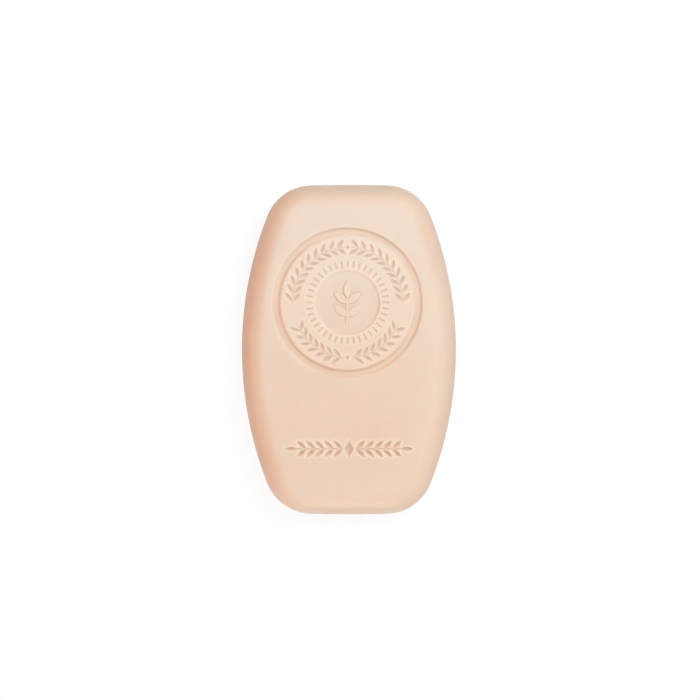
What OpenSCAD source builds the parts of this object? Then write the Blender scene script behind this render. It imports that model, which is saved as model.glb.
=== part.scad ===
// Pressed shampoo bar: one solid with a crowned, stamped front and a flat back.
// It lies on its back at z = 0, with +X to the right of the stamp, +Y to its top
// and +Z out of the front. The origin is under the middle of the bar.

/* [Bar] */
// Width across the widest part
bar_w = 53.5; // [46:0.5:64]
// Length from end to end
bar_l = 82.3; // [74:0.1:96]
// Thickness at the middle of the front
bar_t = 16.5; // [13:0.5:20]
// Radius of each long side
side_r = 91; // [75:1:160]
// Radius of the nearly straight ends
end_r = 400; // [150:10:900]
// Radius of the corners between sides and ends
corner_r = 12; // [9:0.5:15]
// Radius of the sphere that crowns the front
crown_r = 830; // [400:10:2000]

/* [Edges] */
// How far the front rounding reaches in from the sides
side_edge = 5.5; // [3:0.1:7]
// How far the front rounding reaches in from the ends
end_edge = 3.8; // [2:0.1:6]
// How far the back rounding reaches in, all round
back_edge = 5; // [2.5:0.1:7]
// Height of the parting line above the back
seam_z = 8; // [5:0.1:10]
// How far the parting line stands proud
seam_proud = 0.12; // [0.04:0.02:0.3]
// Height of the parting line's bead
seam_h = 0.7; // [0.3:0.1:1.5]

/* [Ring groove] */
// Medallion centre to the right of the bar's middle
medallion_x = -0.4; // [-3:0.1:3]
// Medallion centre below the top end
medallion_drop = 29.45; // [26:0.05:34]
// Outer radius of the groove at the face
groove_out = 18.9; // [17.8:0.1:20]
// Inner radius of the groove at the face
groove_in = 16.5; // [16:0.1:17]
// Width of each sloping wall of the groove, seen from the front
groove_wall = 0.7; // [0.3:0.05:0.8]
// Depth of the groove
groove_depth = 0.8; // [0.3:0.05:1.2]

/* [Wreath] */
// Radius of the stem that the garlands follow
wreath_r = 13.7; // [13.4:0.05:14]
// Depth of the stems, leaves and berries
wreath_depth = 0.4; // [0.2:0.05:0.9]
// Angle from the top of the wreath to the foot of each upper garland
upper_foot = 91; // [75:1:95]
// Angle from the bottom of the wreath to the tip of each lower garland
lower_tip = 65; // [50:1:70]
// Angle that is left free on each side of a berry
berry_gap = 5; // [4:0.5:8]
// Radius of a berry
berry_r = 0.5; // [0.3:0.05:0.6]
// Pairs of leaves on each upper garland
upper_pairs = 10; // [6:1:11]
// Pairs of leaves on each lower garland
lower_pairs = 7; // [4:1:8]
// Length of a leaf
leaf_l = 2.9; // [1.8:0.05:3]
// Width of a leaf
leaf_w = 1.05; // [0.5:0.05:1.1]
// Angle between a leaf and its stem, here and on the lower branch
leaf_spread = 42; // [25:1:45]
// Width of a stem, here and on the lower branch
stem_w = 0.35; // [0.2:0.05:0.6]

/* [Tick ring] */
// Number of ticks
ticks = 40; // [24:1:44]
// Radius at the inner ends of the ticks
tick_in = 8.7; // [8.5:0.05:9]
// Length of a tick
tick_l = 1.7; // [1:0.05:2.3]
// Width of a tick
tick_w = 0.55; // [0.3:0.05:0.8]
// Depth of a tick
tick_depth = 0.35; // [0.2:0.05:0.8]

/* [Centre] */
// Radius of the sunken centre at the face
well_r = 8.2; // [7.4:0.05:8.4]
// Depth of the sunken centre
well_depth = 0.5; // [0.3:0.05:0.8]
// Width of its sloping wall, seen from the front
well_wall = 0.45; // [0.1:0.05:0.6]
// Height of the raised sprig above the floor of the centre
sprig_h = 0.45; // [0.15:0.05:0.5]
// Length of the sprig's stem up to its top leaf
sprig_l = 6.4; // [5:0.1:7]
// Width of the sprig's stem
sprig_stem_w = 0.65; // [0.4:0.05:1]
// Length of a leaf of the sprig
sprig_leaf_l = 4.3; // [2.5:0.1:4.6]
// Width of a leaf of the sprig
sprig_leaf_w = 1.9; // [0.8:0.05:2.2]
// Angle between the sprig's side leaves and its stem
sprig_spread = 50; // [35:1:60]

/* [Lower branch] */
// Middle of the branch above the bottom end
branch_rise = 16.45; // [13:0.05:20]
// Depth of the branch
branch_depth = 0.6; // [0.2:0.05:0.9]
// Pairs of leaves on each side of the lozenge
branch_pairs = 5; // [3:1:6]
// Distance from one pair of leaves to the next
branch_pitch = 2.25; // [1.9:0.05:2.6]
// Length of a leaf
branch_leaf_l = 3; // [1.8:0.1:3.4]
// Width of a leaf
branch_leaf_w = 1.05; // [0.5:0.05:1.1]
// Height of the lozenge in the middle
lozenge_h = 4.4; // [2.5:0.1:5]
// Width of the lozenge
lozenge_w = 2.4; // [1.2:0.1:3]
// Room between the lozenge and the first pair of leaves
lozenge_gap = 0.5; // [0.3:0.1:1.5]

/* [Hidden] */

soap = [0.933, 0.812, 0.722];

// How far every cutter reaches above the face
over = 1;
$fn = 96;

// Steps along half a side, along a corner, along half an end and up a rounded edge
side_steps = 7;
corner_steps = 11;
end_steps = 4;
edge_steps = 10;
// Scale of the rings that close the front towards its middle
front_rings = [0.84, 0.66, 0.46, 0.24];
// Turn between the points of a stem that follows an arc
arc_step = 4;
// Share of the way between two pairs of leaves that comes before a garland's first pair
first_share = 0.25;
// Places of the sprig's side leaves along its stem, from 0 at its foot to 1 at its top leaf
sprig_nodes = [0.3, 0.8];

// Centres of the tangent arcs of the outline, in the quarter where x and y are positive
side_c = [bar_w / 2 - side_r, 0];
end_c = [0, bar_l / 2 - end_r];
side_q = side_r - corner_r;
end_q = end_r - corner_r;
span = norm(end_c - side_c);
dir = (end_c - side_c) / span;
along = (side_q * side_q - end_q * end_q + span * span) / (2 * span);
aside = sqrt(side_q * side_q - along * along);
corner_c = side_c + along * dir + aside * [-dir.y, dir.x];

// Angles at which a side passes into a corner and a corner into an end
side_to = atan2(corner_c.y, corner_c.x - side_c.x);
end_from = atan2(corner_c.y - end_c.y, corner_c.x);

quarter = [
    for (i = [0 : side_steps - 1]) side_to * i / side_steps,
    for (i = [0 : corner_steps - 1]) side_to + (end_from - side_to) * i / corner_steps,
    for (i = [0 : end_steps - 1]) end_from + (90 - end_from) * i / end_steps
];
half = [
    each quarter,
    90,
    for (i = [len(quarter) - 1 : -1 : 1]) 180 - quarter[i]
];
angles = [each half, for (a = half) a + 180];

medallion_y = bar_l / 2 - medallion_drop;
branch_y = branch_rise - bar_l / 2;
crown_c = bar_t - crown_r;

// Height of the crowned front above the point [x, y]
function face_z(p) = crown_c + sqrt(crown_r * crown_r - p.x * p.x - p.y * p.y);

// How far the front falls away at a distance r from where a stamp touches it
function sag(r) = crown_r - sqrt(crown_r * crown_r - r * r);

// Outline point whose outward normal has the angle a
function folded(a) = let (b = a % 180) b > 90 ? 180 - b : b;
function arc_at(f) =
    f < side_to ? [side_c, side_r] : f < end_from ? [corner_c, corner_r] : [end_c, end_r];
function outline(a) =
    let (f = folded(a), arc = arc_at(f), p = arc[0] + arc[1] * [cos(f), sin(f)])
    [sign(cos(a)) * p.x, sign(sin(a)) * p.y];
function inset(a, d) = outline(a) - d * [cos(a), sin(a)];

// Reach of the front rounding where the outline's normal has the angle a
function front_edge(a) = side_edge * pow(cos(a), 2) + end_edge * pow(sin(a), 2);

// Rings of points from the back up to the front, each a closed loop
function back_ring(t) = [
    for (a = angles)
        let (p = inset(a, seam_proud + back_edge * (1 - cos(t))))
        [p.x, p.y, seam_z * (1 - sin(t))]
];
function seam_ring(d, z) = [for (a = angles) let (p = inset(a, d)) [p.x, p.y, seam_z + z]];
function front_ring(t) = [
    for (a = angles)
        let (p = inset(a, seam_proud + front_edge(a) * (1 - cos(t))))
        [p.x, p.y, seam_z + (face_z(p) - seam_z) * sin(t)]
];
function inner_ring(k) = [
    for (a = angles)
        let (p = k * inset(a, seam_proud + front_edge(a)))
        [p.x, p.y, face_z(p)]
];

// The blank before it is stamped: a loft through the rings
module blank() {
    rings = [
        for (i = [edge_steps : -1 : 1]) back_ring(90 * i / edge_steps),
        seam_ring(seam_proud, -seam_h / 2),
        seam_ring(0, 0),
        seam_ring(seam_proud, seam_h / 2),
        for (i = [1 : edge_steps]) front_ring(90 * i / edge_steps),
        for (k = front_rings) inner_ring(k)
    ];
    n = len(angles);
    m = len(rings);
    top = n * m;
    points = [for (ring = rings) each ring, [0, 0, bar_t]];
    walls = [
        for (j = [0 : m - 2], i = [0 : n - 1])
            let (a = j * n + i, b = j * n + (i + 1) % n)
            each [[a, a + n, b + n], [a, b + n, b]]
    ];
    back = [[for (i = [0 : n - 1]) i]];
    front = [for (i = [0 : n - 1]) [top - n + i, top, top - n + (i + 1) % n]];
    polyhedron(points, concat(back, walls, front));
}

// Puts a stamp on the front, square to it at [x, y], with z = 0 on the face
module on_face(x, y) {
    tip = -asin(y / crown_r);
    turn = asin(x / (crown_r * cos(tip)));
    translate([0, 0, crown_c]) rotate([tip, turn, 0]) translate([0, 0, crown_r]) children();
}

// A flat shape pressed into the face to a depth, where the face has fallen away by drop
module pressed(depth, drop = 0) {
    translate([0, 0, -depth - drop]) linear_extrude(depth + drop + over) children();
}

// Pointed leaf between two arcs, from the origin along +Y
module leaf(l, w) {
    r = (l * l + w * w) / (4 * w);
    translate([0, l / 2]) intersection() {
        translate([r - w / 2, 0]) circle(r);
        translate([w / 2 - r, 0]) circle(r);
    }
}

module leaf_pair(l, w, spread) {
    for (side = [-1, 1]) rotate(side * spread) leaf(l, w);
}

// Ring groove round the medallion, with sloping walls
module groove() {
    drop = sag((groove_out + groove_in) / 2);
    flare = groove_wall * (drop + over) / groove_depth;
    rotate_extrude() polygon([
        [groove_in + groove_wall, -drop - groove_depth],
        [groove_out - groove_wall, -drop - groove_depth],
        [groove_out + flare, over],
        [groove_in - flare, over]
    ]);
}

// Part of a thin ring of the wreath's radius, from the angle a0 to a1
module stem_arc(a0, a1) {
    steps = ceil(abs(a1 - a0) / arc_step);
    turns = [for (i = [0 : steps]) a0 + (a1 - a0) * i / steps];
    polygon([
        for (a = turns) (wreath_r + stem_w / 2) * [cos(a), sin(a)],
        for (i = [steps : -1 : 0]) (wreath_r - stem_w / 2) * [cos(turns[i]), sin(turns[i])]
    ]);
}

// Stem with pairs of leaves along it, growing from the angle a0 to a1
module garland(a0, a1, pairs) {
    pitch = (a1 - a0) / pairs;
    stem_arc(a0, a1);
    for (i = [0 : pairs - 1])
        rotate(a0 + (i + first_share) * pitch)
            translate([wreath_r, 0])
                rotate(a1 > a0 ? 0 : 180)
                    leaf_pair(leaf_l, leaf_w, leaf_spread);
}

// Garlands that grow up to a berry at the top, and others that grow up from one at the bottom
module wreath() {
    pressed(wreath_depth, sag(wreath_r)) {
        for (side = [-1, 1]) {
            garland(90 + side * upper_foot, 90 + side * berry_gap, upper_pairs);
            garland(270 + side * berry_gap, 270 + side * lower_tip, lower_pairs);
            translate([0, side * wreath_r]) circle(berry_r);
        }
    }
}

module tick_ring() {
    for (i = [0 : ticks - 1])
        rotate(360 * i / ticks)
            pressed(tick_depth, sag(tick_in))
                translate([tick_in, -tick_w / 2]) square([tick_l, tick_w]);
}

// Stem that runs a little into a leaf at its top, with pairs of leaves at its sides
module sprig() {
    translate([0, -(sprig_l + sprig_leaf_l) / 2]) {
        translate([-sprig_stem_w / 2, 0]) square([sprig_stem_w, sprig_l + sprig_stem_w]);
        translate([0, sprig_l]) leaf(sprig_leaf_l, sprig_leaf_w);
        for (share = sprig_nodes)
            translate([0, share * sprig_l]) leaf_pair(sprig_leaf_l, sprig_leaf_w, sprig_spread);
    }
}

// Sunken round centre, which leaves the sprig standing
module centre() {
    flare = well_wall * (over + sag(well_r)) / well_depth;
    floor_z = -sag(well_r) - well_depth;
    difference() {
        translate([0, 0, floor_z])
            cylinder(h = over - floor_z, r1 = well_r - well_wall, r2 = well_r + flare);
        translate([0, 0, floor_z - over]) linear_extrude(over + sprig_h) sprig();
    }
}

module medallion() {
    on_face(medallion_x, medallion_y) {
        groove();
        wreath();
        tick_ring();
        centre();
    }
}

// Flat four-cornered figure, w wide and h high
module lozenge(w, h) {
    polygon([[w / 2, 0], [0, h / 2], [-w / 2, 0], [0, -h / 2]]);
}

// Stem along +Y with a leaf at its tip and pairs of leaves from the distance start.
// It starts a little before the first pair and ends a little inside the last leaf.
module half_branch(start, tip) {
    translate([-stem_w / 2, start - stem_w / 2]) square([stem_w, tip - start + 1.5 * stem_w]);
    translate([0, tip]) leaf(branch_leaf_l, branch_leaf_w);
    for (i = [0 : branch_pairs - 1])
        translate([0, start + i * branch_pitch])
            leaf_pair(branch_leaf_l, branch_leaf_w, leaf_spread);
}

// Straight branch below the medallion, growing both ways from a lozenge
module lower_branch() {
    start = lozenge_w / 2 + lozenge_gap;
    tip = start + branch_pairs * branch_pitch;
    on_face(0, branch_y) pressed(branch_depth, sag(tip) / 2) {
        lozenge(lozenge_w, lozenge_h);
        for (side = [-1, 1]) rotate(side * 90) half_branch(start, tip);
    }
}

module bar() {
    color(soap) difference() {
        blank();
        medallion();
        lower_branch();
    }
}

bar();
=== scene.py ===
import math

import bpy
import numpy as np
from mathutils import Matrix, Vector
from mathutils.geometry import delaunay_2d_cdt


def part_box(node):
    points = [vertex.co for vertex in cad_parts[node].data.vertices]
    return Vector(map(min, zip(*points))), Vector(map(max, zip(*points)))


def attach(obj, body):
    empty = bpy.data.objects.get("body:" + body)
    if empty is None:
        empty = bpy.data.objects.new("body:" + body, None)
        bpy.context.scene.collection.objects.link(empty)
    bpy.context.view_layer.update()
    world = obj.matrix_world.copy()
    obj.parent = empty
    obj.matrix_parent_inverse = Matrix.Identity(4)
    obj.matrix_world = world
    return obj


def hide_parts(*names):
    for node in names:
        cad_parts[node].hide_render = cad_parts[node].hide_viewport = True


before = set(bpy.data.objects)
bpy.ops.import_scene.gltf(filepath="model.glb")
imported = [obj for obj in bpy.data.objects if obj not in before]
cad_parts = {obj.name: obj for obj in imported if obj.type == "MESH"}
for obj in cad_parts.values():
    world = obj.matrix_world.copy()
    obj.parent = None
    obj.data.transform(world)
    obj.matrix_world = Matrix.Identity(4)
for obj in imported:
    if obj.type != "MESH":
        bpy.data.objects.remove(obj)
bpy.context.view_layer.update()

# Down to the colours, lengths are in millimetres and angles in degrees, as in the part's source
MM = 0.001

# Overall size of the bar, from the frame
low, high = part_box("bar")
BAR_W, BAR_L, BAR_T = ((b - a) / MM for a, b in zip(low, high))

# Outline and roundings
SIDE_R = 91.0
END_R = 400.0
CORNER_R = 12.0
CROWN_R = 830.0
SIDE_EDGE = 5.5
END_EDGE = 3.8
BACK_EDGE = 5.0
SEAM_Z = 8.0
SEAM_PROUD = 0.12
SEAM_H = 0.7

# Medallion: groove, wreath, ticks and sunken centre
MEDALLION_X = -0.4
MEDALLION_Y = BAR_L / 2 - 29.45
GROOVE_OUT = 18.9
GROOVE_IN = 16.5
GROOVE_WALL = 0.7
GROOVE_DEPTH = 0.8
WREATH_R = 13.7
WREATH_DEPTH = 0.4
UPPER_FOOT = 91.0
LOWER_TIP = 65.0
BERRY_GAP = 5.0
BERRY_R = 0.5
UPPER_PAIRS = 10
LOWER_PAIRS = 7
LEAF_L = 2.9
LEAF_W = 1.05
LEAF_SPREAD = 42.0
STEM_W = 0.35
FIRST_SHARE = 0.25
TICKS = 40
TICK_IN = 8.7
TICK_L = 1.7
TICK_W = 0.55
TICK_DEPTH = 0.35
WELL_R = 8.2
WELL_DEPTH = 0.5
WELL_WALL = 0.45
SPRIG_H = 0.45
SPRIG_L = 6.4
SPRIG_STEM_W = 0.65
SPRIG_LEAF_L = 4.3
SPRIG_LEAF_W = 1.9
SPRIG_SPREAD = 50.0
SPRIG_NODES = (0.3, 0.8)
SPRIG_FOOT = MEDALLION_Y - (SPRIG_L + SPRIG_LEAF_L) / 2

# Lower branch
BRANCH_Y = 16.45 - BAR_L / 2
BRANCH_DEPTH = 0.6
BRANCH_PAIRS = 5
BRANCH_PITCH = 2.25
BRANCH_LEAF_L = 3.0
BRANCH_LEAF_W = 1.05
LOZENGE_H = 4.4
LOZENGE_W = 2.4
LOZENGE_GAP = 0.5

# Depths of the marks that are pressed into the face
PRESSED = {"wreath": WREATH_DEPTH, "ticks": TICK_DEPTH, "branch": BRANCH_DEPTH}

# A mark's lip starts this far outside its edge, and its hollow is deepest this far inside it
LIP = 0.12
REACH = 0.45
# The same depth inside the edge of the sprig, which has steeper sides
SPRIG_REACH = 0.22
# Rounding of the walls of the groove and of the sunken centre, beyond their straight part
SOFT = 0.05
# Share of a slope that is rounded at each end
EASE = 0.3
# Depth of the vein along each leaf of the sprig, and its half width
VEIN_DEPTH = 0.1
VEIN_W = 0.16
# A vein ends this far before its leaf's tip, and fades over this length at both ends
VEIN_STOP = 0.5
VEIN_FADE = 0.8

# Spacing of points along a mark's edge, on circles, in the medallion, and on the plain face
EDGE_STEP = 0.15
CIRCLE_STEP = 0.24
MEDALLION_STEP = 0.5
FACE_STEP = 1.1
# Two points closer than about this become one
NEAREST = 0.045
# Two points closer than this count as the same
SAME_POINT = 1e-7
# Distances outside a mark's edge, or inside it where negative, at which it gets rows of points
ROWS = (0.28, 0.14, 0.05, -0.04, -0.14, -0.27, -0.42)
# A row's point is left out where its distance to the nearest mark is off by more than this
ROW_SLACK = 0.02
# Circles of points on each wall of the groove, and on the wall of the sunken centre
GROOVE_CIRCLES = 10
WELL_CIRCLES = 8
# Rows of points along a vein, as shares of its half width, and their distance from the leaf's ends
VEIN_ROWS = (-1, -0.5, 0, 0.5, 1)
VEIN_MARGIN = 0.2
# Room between the other points and a mark's outer rows or the front's edge
OUTER_ROOM = 0.12
# The same for a mark's inner rows and for the walls
INNER_ROOM = 0.1
# Half width and half height of the zone round the lower branch
BRANCH_ZONE = (18.0, 3.0)
# How far the close points reach past the groove and that zone, and where the sparse ones start
CLOSE_PAST = (0.3, 0.0)
SPARSE_PAST = (0.8, 0.6)

# Points round the outline and rows up the rounded edges
RIM_POINTS = 264
RIM_ROWS = 18
SEAM_ROWS = 6

# The painted sheen on the faces starts this far inside the outline, and is full this far inside it
SHEEN_FROM = 2.5
SHEEN_FULL = 6.0
# Middle and half width of the painted highlight strip round each pressed mark, and of the painted
# shade at the sprig's foot
HIGHLIGHT_STRIP = (0.24, 0.26)
FOOT_SHADE = (0.06, 0.24)
# Painted shade at the sprig's foot, as a share of the painted shade in a mark's hollow
FOOT_SHADE_SHARE = 0.8
# Painted highlight over the whole field inside the groove, as a share of that round a mark
FIELD_HIGHLIGHT_SHARE = 0.28


def turned(x, y, angle):
    """The point seen from a frame that is turned by an angle."""
    c, s = math.cos(math.radians(angle)), math.sin(math.radians(angle))
    return c * x + s * y, c * y - s * x


def smooth(t):
    """Soft step from 0 to 1."""
    t = np.clip(t, 0, 1)
    return t * t * (3 - 2 * t)


def ramp(t):
    """Straight slope from 0 to 1 that is rounded at both ends."""
    t = np.clip(t, 0, 1)
    slope = 1 / (1 - EASE)
    bend = slope / (2 * EASE)
    middle = slope * (t - EASE / 2)
    return np.where(t < EASE, bend * t * t, np.where(t > 1 - EASE, 1 - bend * (1 - t) ** 2, middle))


def fan(x, y, start, end, count=4):
    """Edge points at a sharp corner, with normals that turn from one angle to another."""
    angles = np.radians(np.linspace(start, end, count))
    return [(x, y, math.cos(a), math.sin(a)) for a in angles]


def line(x0, y0, x1, y1, step):
    """Edge points along a straight side, whose outside is on the right hand."""
    length = math.hypot(x1 - x0, y1 - y0)
    count = max(2, round(length / step))
    nx, ny = (y1 - y0) / length, (x0 - x1) / length
    shares = [i / count for i in range(count + 1)]
    return [(x0 + (x1 - x0) * t, y0 + (y1 - y0) * t, nx, ny) for t in shares]


class Leaf:
    """Pointed leaf between two arcs, from the origin along +Y."""

    def __init__(self, length, width):
        self.half = length / 2
        self.r = (length ** 2 + width ** 2) / (4 * width)
        self.off = self.r - width / 2

    def distance(self, x, y):
        x, y = np.abs(x), np.abs(y - self.half)
        at_tip = (y - self.half) * self.off > x * self.half
        return np.where(at_tip, np.hypot(x, y - self.half), np.hypot(x + self.off, y) - self.r)

    def edge(self, step):
        reach = math.degrees(math.asin(self.half / self.r))
        count = round(2 * math.radians(reach) * self.r / step)
        points = []
        for a in np.radians(np.linspace(-reach, reach, count + 1)):
            x, y = self.r * math.cos(a) - self.off, self.half + self.r * math.sin(a)
            points += [(x, y, math.cos(a), math.sin(a)), (-x, y, -math.cos(a), math.sin(a))]
        points += fan(0, 2 * self.half, reach, 180 - reach)
        points += fan(0, 0, -reach, reach - 180)
        return np.array(points)


class Slot:
    """Rectangle from the origin along +Y, as wide on each side of it."""

    def __init__(self, length, width):
        self.length, self.width = length, width

    def distance(self, x, y):
        dx, dy = np.abs(x) - self.width / 2, np.abs(y - self.length / 2) - self.length / 2
        outside = np.hypot(np.maximum(dx, 0), np.maximum(dy, 0))
        return outside + np.minimum(np.maximum(dx, dy), 0)

    def edge(self, step):
        w, h = self.width / 2, self.length
        points = line(-w, 0, w, 0, step) + line(w, 0, w, h, step)
        points += line(w, h, -w, h, step) + line(-w, h, -w, 0, step)
        for x, y, start in ((w, h, 0), (-w, h, 90), (-w, 0, 180), (w, 0, 270)):
            points += fan(x, y, start, start + 90)
        return np.array(points)


class Lozenge:
    """Four-cornered figure round the origin."""

    def __init__(self, width, height):
        self.a, self.b = width / 2, height / 2

    def distance(self, x, y):
        x, y = np.abs(x), np.abs(y)
        along = ((self.a - x) * self.a + y * self.b) / (self.a ** 2 + self.b ** 2)
        along = np.clip(along, 0, 1)
        nearest = np.hypot(x - self.a * (1 - along), y - self.b * along)
        return np.where(x * self.b + y * self.a > self.a * self.b, nearest, -nearest)

    def edge(self, step):
        a, b = self.a, self.b
        points = line(a, 0, 0, b, step) + line(0, b, -a, 0, step)
        points += line(-a, 0, 0, -b, step) + line(0, -b, a, 0, step)
        tilt = math.degrees(math.atan2(a, b))
        points += fan(a, 0, -tilt, tilt) + fan(0, b, tilt, 180 - tilt)
        points += fan(-a, 0, 180 - tilt, 180 + tilt) + fan(0, -b, 180 + tilt, 360 - tilt)
        return np.array(points)


class Disc:
    """Round mark round the origin."""

    def __init__(self, r):
        self.r = r

    def distance(self, x, y):
        return np.hypot(x, y) - self.r

    def edge(self, step):
        count = round(2 * math.pi * self.r / step)
        angles = np.arange(count) * 2 * math.pi / count
        c, s = np.cos(angles), np.sin(angles)
        return np.stack([self.r * c, self.r * s, c, s], axis=1)


class Band:
    """Part of a thin ring about the origin, from one angle to another."""

    def __init__(self, r, width, start, end):
        self.r, self.width = r, width
        self.middle, self.reach = (start + end) / 2, abs(end - start) / 2

    def distance(self, x, y):
        u, v = turned(x, y, self.middle)
        past_end = np.maximum(np.abs(np.arctan2(v, u)) - math.radians(self.reach), 0)
        return np.hypot(np.hypot(x, y) - self.r, self.r * past_end) - self.width / 2

    def edge(self, step):
        count = round(2 * math.radians(self.reach) * self.r / step)
        points = []
        for a in np.radians(np.linspace(-self.reach, self.reach, count + 1) + self.middle):
            c, s = math.cos(a), math.sin(a)
            for side in (-1, 1):
                r = self.r + side * self.width / 2
                points.append((r * c, r * s, side * c, side * s))
        return np.array(points)


class Placed:
    """A shape moved to a place on the face and turned by an angle."""

    def __init__(self, shape, x, y, turn=0.0):
        self.shape, self.x, self.y, self.turn = shape, x, y, turn

    def distance(self, x, y):
        return self.shape.distance(*turned(x - self.x, y - self.y, self.turn))

    def edge(self, step):
        x, y, nx, ny = self.shape.edge(step).T
        x, y = turned(x, y, -self.turn)
        nx, ny = turned(nx, ny, -self.turn)
        return np.stack([x + self.x, y + self.y, nx, ny], axis=1)


class Marks:
    """Several shapes that are stamped as one."""

    def __init__(self, shapes):
        self.shapes = list(shapes)

    def distance(self, x, y):
        return np.minimum.reduce([s.distance(x, y) for s in self.shapes])

    def points(self):
        """Points along the marks' edges, in rows outside and inside them."""
        x, y, nx, ny = np.concatenate([s.edge(EDGE_STEP) for s in self.shapes]).T
        rows = []
        for d in ROWS:
            px, py = x + d * nx, y + d * ny
            kept = np.abs(self.distance(px, py) - d) < ROW_SLACK
            rows.append(np.stack([px[kept], py[kept]], axis=1))
        return np.concatenate(rows)


def leaf_pair(length, width, spread, x, y, turn=0.0):
    """Two leaves that grow from a point, one on each side of a direction."""
    return [Placed(Leaf(length, width), x, y, turn + side * spread) for side in (-1, 1)]


def on_circle(r, angle):
    """The point of the medallion at a radius and an angle."""
    a = math.radians(angle)
    return MEDALLION_X + r * math.cos(a), MEDALLION_Y + r * math.sin(a)


def from_medallion(x, y):
    """Distance from the middle of the medallion."""
    return np.hypot(x - MEDALLION_X, y - MEDALLION_Y)


def garland(start, end, pairs):
    """Stem with pairs of leaves along it, growing from one angle to another."""
    pitch = (end - start) / pairs
    shapes = [Placed(Band(WREATH_R, STEM_W, start, end), MEDALLION_X, MEDALLION_Y)]
    for i in range(pairs):
        angle = start + (i + FIRST_SHARE) * pitch
        way = angle if end > start else angle + 180
        shapes += leaf_pair(LEAF_L, LEAF_W, LEAF_SPREAD, *on_circle(WREATH_R, angle), way)
    return shapes


def wreath():
    """Garlands that grow up to a berry at the top, and others that grow up from one at the bottom."""
    shapes = []
    for side in (-1, 1):
        shapes += garland(90 + side * UPPER_FOOT, 90 + side * BERRY_GAP, UPPER_PAIRS)
        shapes += garland(270 + side * BERRY_GAP, 270 + side * LOWER_TIP, LOWER_PAIRS)
        shapes.append(Placed(Disc(BERRY_R), MEDALLION_X, MEDALLION_Y + side * WREATH_R))
    return Marks(shapes)


def tick_ring():
    """Short straight marks round the sunken centre."""
    angles = [360 * i / TICKS for i in range(TICKS)]
    return Marks(Placed(Slot(TICK_L, TICK_W), *on_circle(TICK_IN, a), a - 90) for a in angles)


def sprig_leaves():
    """The leaf at the top of the sprig's stem and the pairs at its sides."""
    leaves = [Placed(Leaf(SPRIG_LEAF_L, SPRIG_LEAF_W), MEDALLION_X, SPRIG_FOOT + SPRIG_L)]
    for share in SPRIG_NODES:
        place = MEDALLION_X, SPRIG_FOOT + share * SPRIG_L
        leaves += leaf_pair(SPRIG_LEAF_L, SPRIG_LEAF_W, SPRIG_SPREAD, *place)
    return leaves


def sprig():
    """The raised sprig, whose stem runs a little into the leaf at its top."""
    stem = Slot(SPRIG_L + SPRIG_STEM_W, SPRIG_STEM_W)
    return Marks([Placed(stem, MEDALLION_X, SPRIG_FOOT), *sprig_leaves()])


def lower_branch():
    """Lozenge with a branch that grows outwards at each side.

    A stem starts a little before its first pair of leaves and ends a little inside its last leaf.
    """
    shapes = [Placed(Lozenge(LOZENGE_W, LOZENGE_H), 0, BRANCH_Y)]
    start = LOZENGE_W / 2 + LOZENGE_GAP
    length = BRANCH_PAIRS * BRANCH_PITCH
    stem = Slot(length + 1.5 * STEM_W, STEM_W)
    last_leaf = Leaf(BRANCH_LEAF_L, BRANCH_LEAF_W)
    for way in (-1, 1):
        turn = -90 * way
        shapes.append(Placed(stem, way * (start - STEM_W / 2), BRANCH_Y, turn))
        for i in range(BRANCH_PAIRS):
            place = way * (start + i * BRANCH_PITCH), BRANCH_Y
            shapes += leaf_pair(BRANCH_LEAF_L, BRANCH_LEAF_W, LEAF_SPREAD, *place, turn)
        shapes.append(Placed(last_leaf, way * (start + length), BRANCH_Y, turn))
    return Marks(shapes)


def face_z(x, y):
    """Height of the crowned front before it is stamped."""
    return BAR_T - CROWN_R + np.sqrt(CROWN_R ** 2 - x * x - y * y)


def hollow(distance, reach=REACH):
    """0 outside a mark's lip and 1 deep inside it."""
    return ramp((LIP - distance) / (LIP + reach))


def strip(distance, middle, half):
    """1 at one distance from a mark's edge, falling to 0 at half the strip's width on each side."""
    return smooth(1 - np.abs(distance - middle) / half)


def step(inside, wall):
    """0 up to a lip and 1 from the foot of a wall, where inside is the distance past the lip."""
    return ramp((inside + SOFT) / (wall + 2 * SOFT))


def veins(x, y):
    """1 on the middle line of each leaf of the sprig, 0 beside it."""
    depth = np.zeros_like(x)
    for leaf in sprig_leaves():
        u, v = turned(x - leaf.x, y - leaf.y, leaf.turn)
        along = smooth(v / VEIN_FADE) * smooth((SPRIG_LEAF_L - VEIN_STOP - v) / VEIN_FADE)
        depth = np.maximum(depth, along * smooth(1 - np.abs(u) / VEIN_W))
    return depth


def in_groove(x, y):
    """1 on the floor of the groove, 0 outside it."""
    middle, half = (GROOVE_OUT + GROOVE_IN) / 2, (GROOVE_OUT - GROOVE_IN) / 2
    return step(half - np.abs(from_medallion(x, y) - middle), GROOVE_WALL)


def relief(x, y, marks):
    """Height of the stamped front above or below the crowned face."""
    z = -GROOVE_DEPTH * in_groove(x, y)
    for name, depth in PRESSED.items():
        z -= depth * hollow(marks[name].distance(x, y))
    z -= WELL_DEPTH * step(WELL_R - from_medallion(x, y), WELL_WALL)
    leaves = hollow(marks["sprig"].distance(x, y), SPRIG_REACH)
    return z + leaves * (SPRIG_H - VEIN_DEPTH * veins(x, y))


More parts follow.
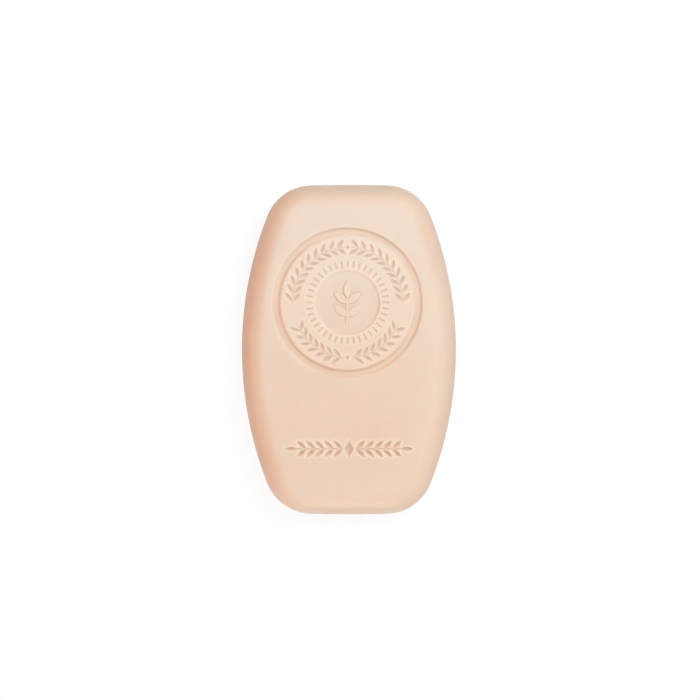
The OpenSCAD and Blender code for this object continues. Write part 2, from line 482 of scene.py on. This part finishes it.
def outline_arcs():
    """Centres and radii of the tangent arcs in the outline's first quarter, and the angles between."""
    side_c = np.array([BAR_W / 2 - SIDE_R, 0.0])
    end_c = np.array([0.0, BAR_L / 2 - END_R])
    side_q, end_q = SIDE_R - CORNER_R, END_R - CORNER_R
    span = np.linalg.norm(end_c - side_c)
    direction = (end_c - side_c) / span
    along = (side_q ** 2 - end_q ** 2 + span ** 2) / (2 * span)
    aside = math.sqrt(side_q ** 2 - along ** 2)
    corner_c = side_c + along * direction + aside * np.array([-direction[1], direction[0]])
    side_to = math.degrees(math.atan2(corner_c[1], corner_c[0] - side_c[0]))
    end_from = math.degrees(math.atan2(corner_c[1] - end_c[1], corner_c[0]))
    centres = np.array([side_c, corner_c, end_c])
    return centres, np.array([SIDE_R, CORNER_R, END_R]), [side_to, end_from]


def outline_angles():
    """Angles of the outline's normals, at even steps along the outline."""
    _, radii, between = outline_arcs()
    bends = np.array([0, *between, 90])
    run = np.concatenate([[0], np.cumsum(np.radians(np.diff(bends)) * radii)])
    quarter = np.interp(np.arange(RIM_POINTS // 4) * run[-1] * 4 / RIM_POINTS, run, bends)
    half = np.concatenate([quarter, [90], 180 - quarter[:0:-1]])
    return np.concatenate([half, half + 180])


def outline(angles):
    """Points and normals of the outline where the normal has the given angles."""
    centres, radii, between = outline_arcs()
    folded = angles % 180
    folded = np.radians(np.where(folded > 90, 180 - folded, folded))
    which = np.digitize(np.degrees(folded), between)
    nx, ny = np.cos(np.radians(angles)), np.sin(np.radians(angles))
    # The normals are rounded, so that a point on an axis gets no sign across it
    x = (centres[which, 0] + radii[which] * np.cos(folded)) * np.sign(np.round(nx, 9))
    y = (centres[which, 1] + radii[which] * np.sin(folded)) * np.sign(np.round(ny, 9))
    return np.stack([x, y], axis=1), np.stack([nx, ny], axis=1)


def rim_rows():
    """Rows of points from the edge of the front, over the parting line, to the edge of the back."""
    points, normals = outline(outline_angles())
    reach = SIDE_EDGE * normals[:, 0] ** 2 + END_EDGE * normals[:, 1] ** 2
    rows = []
    for t in np.radians(np.linspace(90, 0, RIM_ROWS + 1)[:-1]):
        p = points - normals * (SEAM_PROUD + reach * (1 - math.cos(t)))[:, None]
        z = SEAM_Z + (face_z(p[:, 0], p[:, 1]) - SEAM_Z) * math.sin(t)
        rows.append(np.column_stack([p, z]))
    for share in np.linspace(1, -1, SEAM_ROWS + 1):
        proud = SEAM_PROUD * math.cos(share * math.pi / 2) ** 2
        p = points - normals * (SEAM_PROUD - proud)
        rows.append(np.column_stack([p, np.full(len(p), SEAM_Z + share * SEAM_H / 2)]))
    for t in np.radians(np.linspace(0, 90, RIM_ROWS + 1)[1:]):
        p = points - normals * (SEAM_PROUD + BACK_EDGE * (1 - math.cos(t)))
        rows.append(np.column_stack([p, np.full(len(p), SEAM_Z * (1 - math.sin(t)))]))
    return rows


def inset(points, ring):
    """How far each point lies inside the nearest side of a ring, with its sides drawn out straight."""
    ahead = np.roll(ring, -1, axis=0) - ring
    normals = np.stack([-ahead[:, 1], ahead[:, 0]], axis=1)
    normals /= np.linalg.norm(normals, axis=1)[:, None]
    nearest = np.full(len(points), np.inf)
    for corner, normal in zip(ring, normals):
        nearest = np.minimum(nearest, (points - corner) @ normal)
    return nearest


def hexagonal(step):
    """Evenly spaced points over the rectangle round the bar."""
    rows = np.arange(-BAR_L / 2, BAR_L / 2, step * math.sqrt(3) / 2)
    return np.array([
        (x + step / 2 * (i % 2), y)
        for i, y in enumerate(rows)
        for x in np.arange(-BAR_W / 2, BAR_W / 2, step)
    ])


def circle_points(r):
    """Points round a circle of the medallion."""
    count = round(2 * math.pi * r / CIRCLE_STEP)
    angles = np.arange(count) * 2 * math.pi / count
    x = MEDALLION_X + r * np.cos(angles)
    return np.stack([x, MEDALLION_Y + r * np.sin(angles)], axis=1)


def vein_points():
    """Rows of points along and beside the vein of each leaf of the sprig."""
    v = np.arange(VEIN_MARGIN, SPRIG_LEAF_L - VEIN_MARGIN, EDGE_STEP)
    rows = []
    for leaf in sprig_leaves():
        for share in VEIN_ROWS:
            x, y = turned(np.full_like(v, share * VEIN_W), v, -leaf.turn)
            rows.append(np.stack([x + leaf.x, y + leaf.y], axis=1))
    return rows


def wall_points():
    """Circles of points down the walls of the groove and of the sunken centre."""
    walls = (
        (GROOVE_OUT - GROOVE_WALL, GROOVE_OUT, GROOVE_CIRCLES),
        (GROOVE_IN + GROOVE_WALL, GROOVE_IN, GROOVE_CIRCLES),
        (WELL_R - WELL_WALL, WELL_R, WELL_CIRCLES),
    )
    circles = []
    for foot, lip, count in walls:
        out = math.copysign(SOFT, lip - foot)
        circles += [circle_points(r) for r in np.linspace(foot - out, lip + out, count)]
    return circles


def near_stamps(points, past_groove, past_zone):
    """Which points lie in the medallion or the branch's zone, or up to these distances past them."""
    x, y = points.T
    across, along = BRANCH_ZONE
    in_zone = (np.abs(x) < across + past_zone) & (np.abs(y - BRANCH_Y) < along + past_zone)
    return (from_medallion(x, y) < GROOVE_OUT + past_groove) | in_zone


def plain_points(marks):
    """Points clear of the marks and walls: close together near the stamps, sparse elsewhere."""
    close, sparse = hexagonal(MEDALLION_STEP), hexagonal(FACE_STEP)
    close = close[near_stamps(close, *CLOSE_PAST)]
    sparse = sparse[~near_stamps(sparse, *SPARSE_PAST)]
    points = np.concatenate([close, sparse])
    x, y = points.T
    clear = np.ones(len(points), bool)
    for group in marks.values():
        d = group.distance(x, y)
        clear &= (d > ROWS[0] + OUTER_ROOM) | (d < ROWS[-1] - INNER_ROOM)
    r = from_medallion(x, y)
    for middle in (GROOVE_OUT - GROOVE_WALL / 2, GROOVE_IN + GROOVE_WALL / 2, WELL_R - WELL_WALL / 2):
        clear &= np.abs(r - middle) > GROOVE_WALL / 2 + SOFT + INNER_ROOM
    return points[clear]


def spaced(points):
    """The points without those that fall into the cell of an earlier one."""
    cells = np.round(points / NEAREST).astype(int)
    _, first = np.unique(cells, axis=0, return_index=True)
    return points[np.sort(first)]


def front_points(ring, marks):
    """Points of the front inside its edge, which is the ring."""
    groups = [group.points() for group in marks.values()]
    groups += [*vein_points(), *wall_points(), plain_points(marks)]
    points = spaced(np.concatenate(groups))
    return points[inset(points, ring) > OUTER_ROOM]


def front_faces(plan, count):
    """Triangles between the points of the front, of which the first, up to count, are its edge."""
    # Output type 1 keeps the triangles inside the edge, which is slightly hollow near its corners
    found = delaunay_2d_cdt([Vector(p) for p in plan], [], [list(range(count))], 1, SAME_POINT)
    placed, faces, sources = found[0], found[2], found[3]
    if len(placed) != len(plan):
        raise ValueError("two points of the front are the same")
    number = [source[0] for source in sources]
    return [tuple(number[v] for v in face) for face in faces]


def rim_faces(count, rows, start):
    """Quads from the front's edge down through some rows of points, and the back as one face.

    The first row's points are numbered from start.
    """
    rings = [np.arange(count)]
    rings += [start + i * count + np.arange(count) for i in range(rows)]
    faces = []
    for above, below in zip(rings, rings[1:]):
        quads = np.stack([above, below, np.roll(below, -1), np.roll(above, -1)], axis=1)
        faces += quads.tolist()
    return [*faces, rings[-1][::-1].tolist()]


def tone_shares(x, y, marks):
    """How strong the painted shade and the painted highlight of the stamps are at points of the front,
    from 0 to 1.
    """
    pressed_in = np.min([marks[name].distance(x, y) for name in PRESSED], axis=0)
    # Painted shade in a strip round the sprig's foot
    foot = FOOT_SHADE_SHARE * strip(marks["sprig"].distance(x, y), *FOOT_SHADE)
    field_highlight = FIELD_HIGHLIGHT_SHARE * smooth(GROOVE_IN - from_medallion(x, y))
    return {
        # Painted shade in the hollows of the pressed marks and at the sprig's foot
        "pressed": np.maximum(hollow(pressed_in), foot),
        # Painted highlight round each pressed mark and, more faintly, over the field inside the groove
        "painted_highlight": np.maximum(strip(pressed_in, *HIGHLIGHT_STRIP), field_highlight),
        # Painted shade on the floor and walls of the groove
        "painted_groove_shade": in_groove(x, y),
    }


def bar_mesh():
    """One closed mesh: the stamped front, the rounded rim with its parting line, and the flat back.

    Its attributes carry the shares of the painted sheen, and of the stamps' painted highlight and
    painted shade.
    """
    marks = {"wreath": wreath(), "ticks": tick_ring(), "sprig": sprig(), "branch": lower_branch()}
    edge, *rows = rim_rows()
    ring = edge[:, :2]
    plan = np.concatenate([ring, front_points(ring, marks)])
    x, y = plan.T
    front = np.column_stack([plan, face_z(x, y) + relief(x, y, marks)])
    vertices = np.concatenate([front, *rows])
    faces = front_faces(plan, len(ring)) + rim_faces(len(ring), len(rows), len(plan))
    mesh = bpy.data.meshes.new("bar_body")
    mesh.from_pydata([Vector(v) * MM for v in vertices], [], faces)
    mesh.validate()
    mesh.shade_smooth()
    shares = tone_shares(x, y, marks)
    depth = inset(vertices[:, :2], outline(outline_angles())[0])
    # Share of the painted sheen, which comes in away from the outline
    shares["painted_sheen"] = smooth((depth - SHEEN_FROM) / (SHEEN_FULL - SHEEN_FROM))
    for name, values in shares.items():
        attribute = mesh.attributes.new(name, "FLOAT", "POINT")
        attribute.data.foreach_set("value", np.pad(values, (0, len(vertices) - len(values))))
    return mesh


class Nodes:
    """Short calls that add shader nodes to a material or world and join them."""

    def __init__(self, owner):
        owner.use_nodes = True
        self.tree = owner.node_tree

    def give(self, socket, value):
        """Join a socket to another node's output, or set it to a plain value."""
        if isinstance(value, bpy.types.NodeSocket):
            self.tree.links.new(value, socket)
        else:
            socket.default_value = value

    def add(self, kind, *values, operation=None, **named):
        """New node whose inputs get the values in order, and others by name."""
        node = self.tree.nodes.new("ShaderNode" + kind)
        if operation:
            node.operation = operation
        for socket, value in zip(node.inputs, values):
            self.give(socket, value)
        for name, value in named.items():
            self.give(node.inputs[name.replace("_", " ")], value)
        return node

    def noise(self, place, scale, detail, roughness=0.5):
        node = self.add("TexNoise", Vector=place, Scale=scale, Detail=detail, Roughness=roughness)
        return node.outputs["Fac"]

    def ramp(self, value, low, high, to_low, to_high):
        """The value moved from the range low to high into another range, and held within it."""
        node = self.add("MapRange", value, low, high, to_low, to_high)
        return node.outputs["Result"]

    def attribute(self, name):
        node = self.add("Attribute")
        node.attribute_name = name
        return node.outputs["Fac"]

    def calculate(self, operation, a, b):
        return self.add("Math", a, b, operation=operation).outputs["Value"]

    def mix(self, share, a, b):
        """Colour that goes from a to b as the share goes from 0 to 1."""
        node = self.add("Mix")
        node.data_type = "RGBA"
        sockets = {socket.identifier: socket for socket in [*node.inputs, *node.outputs]}
        for name, value in (("Factor_Float", share), ("A_Color", a), ("B_Color", b)):
            self.give(sockets[name], value)
        return sockets["Result_Color"]


def srgb(r, g, b):
    """Linear colour from 0 to 255 screen values."""
    def channel(v):
        v /= 255
        return v / 12.92 if v <= 0.04045 else ((v + 0.055) / 1.055) ** 2.4
    return (channel(r), channel(g), channel(b), 1.0)


# From here on, lengths are in metres where nothing else is said
SOAP = srgb(240, 211, 189)
SOAP_CLOUD = srgb(237, 205, 180)
# Colour of the painted sheen on the faces
SOAP_SHEEN = srgb(241, 219, 202)
# Painted tones of the stamps: the attribute that carries each, its strength, and its colour
TONES = (
    # Painted highlight round the marks
    ("painted_highlight", 0.48, srgb(251, 228, 209)),
    # Painted shade in the hollows of the marks and at the sprig's foot
    ("pressed", 0.5, srgb(220, 184, 158)),
    # Painted shade in the groove
    ("painted_groove_shade", 0.4, srgb(243, 206, 178)),
)
# Middle of the deeper-coloured part of the front, which has no painted sheen, and the distances over
# which the painted sheen comes in
SHEEN_FREE_MIDDLE = (-0.002, -0.017, 0.0165)
SHEEN_REACH = (0.01, 0.046)
# Strength of the painted sheen, from its weakest patches to its strongest
SHEEN_SHARES = (0.5, 0.85)
# Roughness of the surface, from its glossiest spots to its dullest
ROUGHNESS = (0.42, 0.56)
# Features per metre of the clouds, the patches of the painted sheen, the gloss and the pressed grain
CLOUD_SCALE = 55
SHEEN_PATCH_SCALE = 34
GLOSS_SCALE = 320
GRAIN_SCALE = 1500
# Values of a noise that count as its lowest and its highest, and the same for the patches of the
# painted sheen
NOISE_RANGE = (0.3, 0.7)
SHEEN_PATCH_RANGE = (0.35, 0.65)


def soap_material():
    """Pressed soap: waxy and slightly translucent, faintly clouded, with a fine pressed grain.

    A painted sheen makes the faces paler towards their ends than in the middle and on the rounded
    edge, and the stamps get a painted highlight and painted shade.
    """
    material = bpy.data.materials.new("soap")
    nodes = Nodes(material)
    shader = nodes.tree.nodes["Principled BSDF"]
    place = nodes.add("TexCoord").outputs["Object"]
    clouds = nodes.noise(place, CLOUD_SCALE, 3, 0.55)
    colour = nodes.mix(nodes.ramp(clouds, *NOISE_RANGE, 0, 1), SOAP, SOAP_CLOUD)
    away = nodes.add("VectorMath", place, SHEEN_FREE_MIDDLE, operation="DISTANCE").outputs["Value"]
    # Painted sheen: it grows away from the middle of the front and from the outline, in patches of
    # random strength
    sheen = nodes.calculate("MULTIPLY", nodes.ramp(away, *SHEEN_REACH, 0, 1), nodes.attribute("painted_sheen"))
    sheen_patches = nodes.ramp(nodes.noise(place, SHEEN_PATCH_SCALE, 2), *SHEEN_PATCH_RANGE, *SHEEN_SHARES)
    colour = nodes.mix(nodes.calculate("MULTIPLY", sheen, sheen_patches), colour, SOAP_SHEEN)
    # Painted highlight and painted shade of the stamps over the soap's colour
    for name, strength, tone in TONES:
        colour = nodes.mix(nodes.ramp(nodes.attribute(name), 0, 1, 0, strength), colour, tone)
    gloss = nodes.ramp(nodes.noise(place, GLOSS_SCALE, 4), *NOISE_RANGE, *ROUGHNESS)
    grain = nodes.noise(place, GRAIN_SCALE, 3)
    bump = nodes.add("Bump", Height=grain, Strength=0.12, Distance=0.0001)
    settings = {
        "Base Color": colour,
        "Roughness": gloss,
        "Normal": bump.outputs["Normal"],
        "Subsurface Weight": 0.6,
        "Subsurface Radius": (1.0, 0.7, 0.55),
        "Subsurface Scale": 0.0011,
        "IOR": 1.45,
        "Specular IOR Level": 0.4,
    }
    for name, value in settings.items():
        nodes.give(shader.inputs[name], value)
    return material


WHITE = (1, 1, 1, 1)
# Half the width of the floor
FLOOR_HALF = 1.2
# To the eye the floor is a dark grey that takes the shadow, with a white glow of this strength
FLOOR_GREY = (0.13, 0.13, 0.13, 1)
FLOOR_GLOW = 0.885
# Colour of the floor in the light that it throws up at the bar
BOARD = (0.42, 0.36, 0.32, 1)


def floor_material():
    """White to the eye with the bar's soft shadow on it, and a dim warm board to the bar above it."""
    material = bpy.data.materials.new("floor_white")
    nodes = Nodes(material)
    rays = nodes.add("LightPath").outputs
    seen = rays["Is Camera Ray"]
    for name in ("Is Glossy Ray", "Is Transmission Ray"):
        seen = nodes.calculate("MAXIMUM", seen, rays[name])
    grey = nodes.add("BsdfDiffuse", Color=FLOOR_GREY).outputs["BSDF"]
    glow = nodes.add("Emission", Color=WHITE, Strength=FLOOR_GLOW).outputs["Emission"]
    board = nodes.add("BsdfDiffuse", Color=BOARD).outputs["BSDF"]
    bright = nodes.add("AddShader", grey, glow).outputs[0]
    surface = nodes.add("MixShader", seen, board, bright).outputs[0]
    nodes.give(nodes.tree.nodes["Material Output"].inputs["Surface"], surface)
    nodes.tree.nodes.remove(nodes.tree.nodes["Principled BSDF"])
    return material


def add_object(name, data):
    """New object of that data, in the scene."""
    added = bpy.data.objects.new(name, data)
    bpy.context.scene.collection.objects.link(added)
    return added


def make_bar():
    bar = add_object("bar_body", bar_mesh())
    bar.data.materials.append(soap_material())
    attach(bar, "root")
    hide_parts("bar")


def make_floor():
    mesh = bpy.data.meshes.new("floor")
    corners = [(x * FLOOR_HALF, y * FLOOR_HALF, 0) for x, y in ((-1, -1), (1, -1), (1, 1), (-1, 1))]
    mesh.from_pydata(corners, [], [(0, 1, 2, 3)])
    mesh.materials.append(floor_material())
    add_object("floor", mesh)


def lamp(name, azimuth, elevation, distance, size, power, colour):
    """Disc lamp that faces the front's middle from that direction, from +X round to +Y and up."""
    light = bpy.data.lights.new(name, "AREA")
    light.shape = "DISK"
    light.size = size
    light.energy = power
    light.color = colour
    a, e = math.radians(azimuth), math.radians(elevation)
    way = Vector((math.cos(e) * math.cos(a), math.cos(e) * math.sin(a), math.sin(e)))
    middle = Vector((0, 0, BAR_T * MM))
    place = middle + distance * way
    holder = add_object(name, light)
    holder.location = place
    holder.rotation_euler = (middle - place).to_track_quat("-Z", "Y").to_euler()


# Strength of the room light from low down and from high up, and how far up a unit's way that is
SKY_STRENGTHS = (0.28, 0.58)
SKY_HEIGHTS = (0.1, 0.9)


def make_sky():
    """Even white room light that is twice as strong from straight above as from the side."""
    world = bpy.data.worlds.new("studio")
    bpy.context.scene.world = world
    nodes = Nodes(world)
    way = nodes.add("TexCoord").outputs["Generated"]
    height = nodes.add("SeparateXYZ", way).outputs["Z"]
    background = nodes.tree.nodes["Background"]
    nodes.give(background.inputs["Color"], WHITE)
    strength = nodes.ramp(height, *SKY_HEIGHTS, *SKY_STRENGTHS)
    nodes.give(background.inputs["Strength"], strength)


def make_lights():
    """Soft lamps above and to the upper right, and cards that tint the edges from low down."""
    lamp("overhead", 90, 87, 0.9, 0.6, 1.15, (0.73, 0.915, 0.97))
    lamp("softbox", 50, 60, 0.7, 0.5, 2.04, (0.845, 0.965, 1.0))
    lamp("key", 42, 22, 1.0, 0.3, 1.52, (0.9, 0.95, 1.0))
    lamp("right_card", 0, 8, 0.6, 0.12, 0.25, (1.0, 0.77, 0.84))
    lamp("front_card", 270, 8, 0.6, 0.12, 1.35, (0.92, 0.97, 1.0))
    lamp("warm_card", 180, 8, 0.6, 0.12, 0.82, (1.0, 0.27, 0.0))
    make_sky()


# Millimetres across the photograph at the bar, its size in pixels, and the bar's middle in it
PHOTO_WIDTH = 175.0
PHOTO_PIXELS = 700
BAR_PIXEL = (348.9, 349.6)
# Height of the camera above the floor
CAMERA_HEIGHT = 1.6


def make_camera():
    """Looks straight down on the bar through a long lens, with the top of the stamp up."""
    camera = bpy.data.cameras.new("camera")
    holder = add_object("camera", camera)
    scale = PHOTO_WIDTH / PHOTO_PIXELS * MM
    x = (PHOTO_PIXELS / 2 - BAR_PIXEL[0]) * scale
    y = (BAR_PIXEL[1] - PHOTO_PIXELS / 2) * scale
    holder.location = (x, y, CAMERA_HEIGHT)
    camera.sensor_width = 36
    camera.lens = camera.sensor_width * (CAMERA_HEIGHT - SEAM_Z * MM) / (PHOTO_WIDTH * MM)
    camera.clip_end = 10
    bpy.context.scene.camera = holder


make_camera()
make_bar()
make_floor()
make_lights()
bpy.context.scene.view_settings.view_transform = "Standard"
